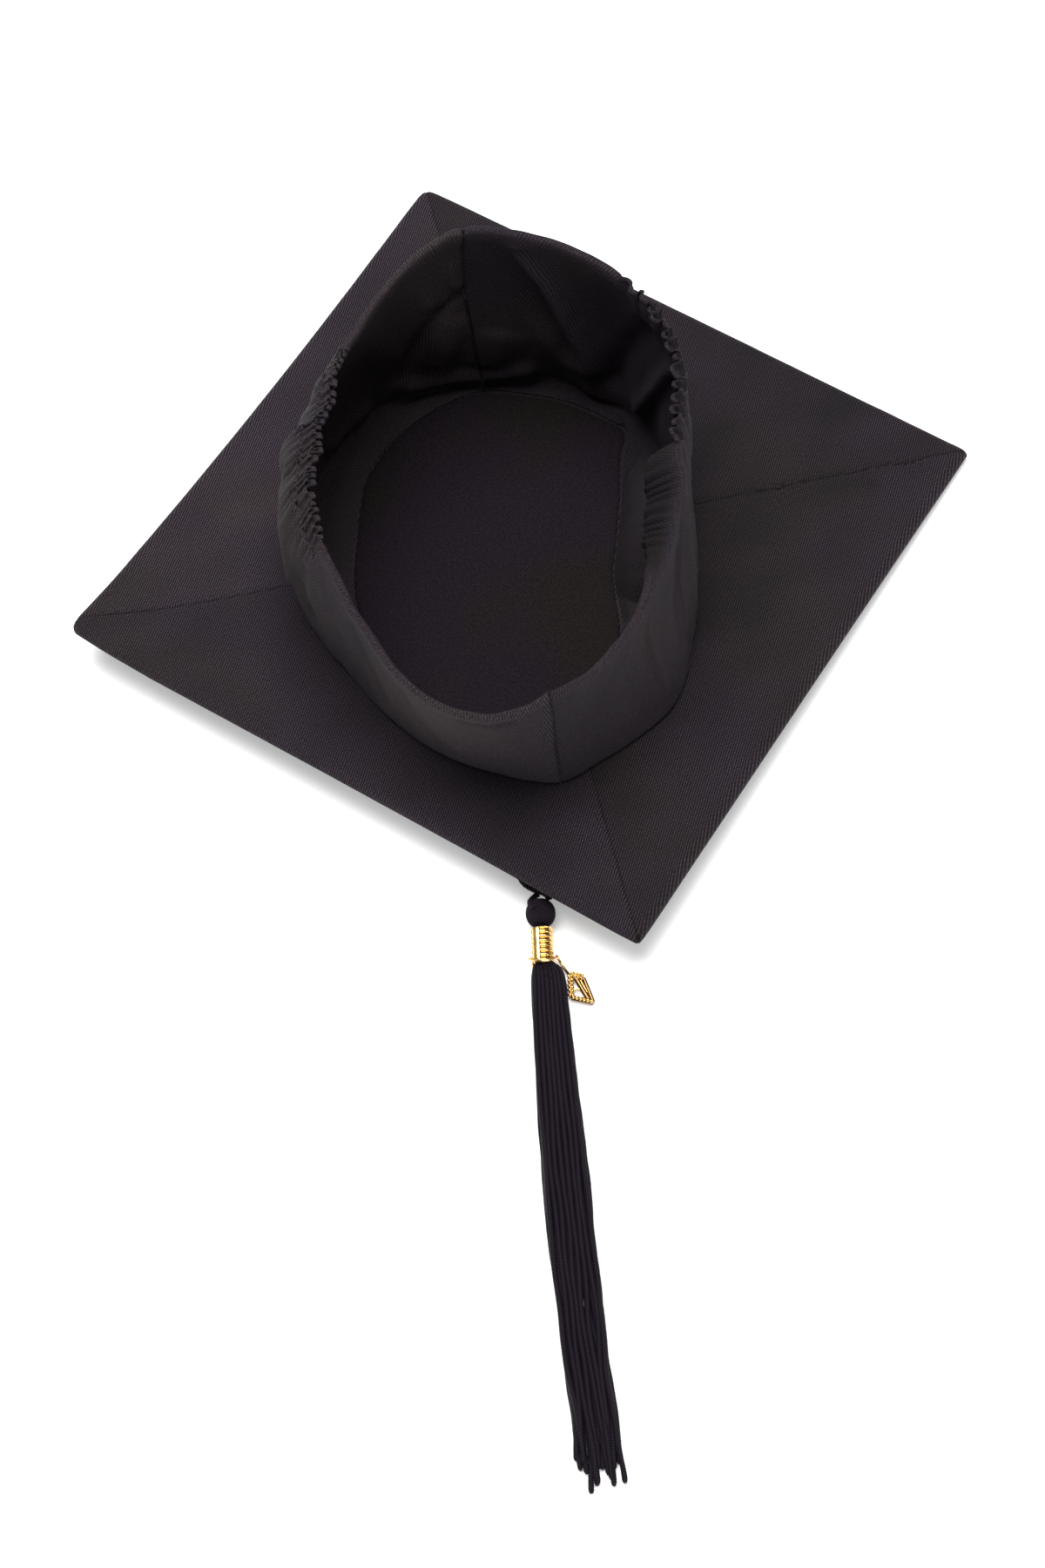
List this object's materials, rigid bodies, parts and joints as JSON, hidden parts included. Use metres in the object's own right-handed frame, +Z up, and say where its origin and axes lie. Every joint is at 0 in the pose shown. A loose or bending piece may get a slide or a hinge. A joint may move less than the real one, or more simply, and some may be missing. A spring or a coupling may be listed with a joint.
{
  "type": "mortarboard",
  "caption": "Square academic cap lying upside down: cloth board, soft gathered cap, and a tassel looped round the button with a gold band and a small openwork drop.",
  "frame": {"origin": "on the floor, under the middle of the hat's bounding box, tassel left out", "axes": "+Z up, -Y towards the board's front corner and the tassel, +X towards the board's right corner"},
  "size_m": [0.3387, 0.5215, 0.097],
  "materials": {
    "board_cloth": "matt charcoal twill",
    "cap_cloth": "matt charcoal twill, softly creased",
    "lining_cloth": "matt charcoal, fine and grainy",
    "tassel_thread": "black thread with a slight sheen",
    "gold_metal": "polished gold colour plating"
  },
  "bodies": {
    "root": {"board": "board_cloth", "underside_panel_front_left": "board_cloth", "underside_panel_front_right": "board_cloth", "underside_panel_back_right": "board_cloth", "underside_panel_back_left": "board_cloth", "crown_lining": "lining_cloth", "cap_wall_left": "cap_cloth", "cap_wall_right": "cap_cloth", "elastic_gather_left": "cap_cloth", "elastic_gather_right": "cap_cloth", "button": "board_cloth", "tassel_cord_left": "tassel_thread", "tassel_cord_right": "tassel_thread", "tassel_knot": "tassel_thread", "tassel_skirt": "tassel_thread", "tassel_ferrule": "gold_metal", "charm_ring": "gold_metal", "charm": "gold_metal"}
  },
  "joints": []
}
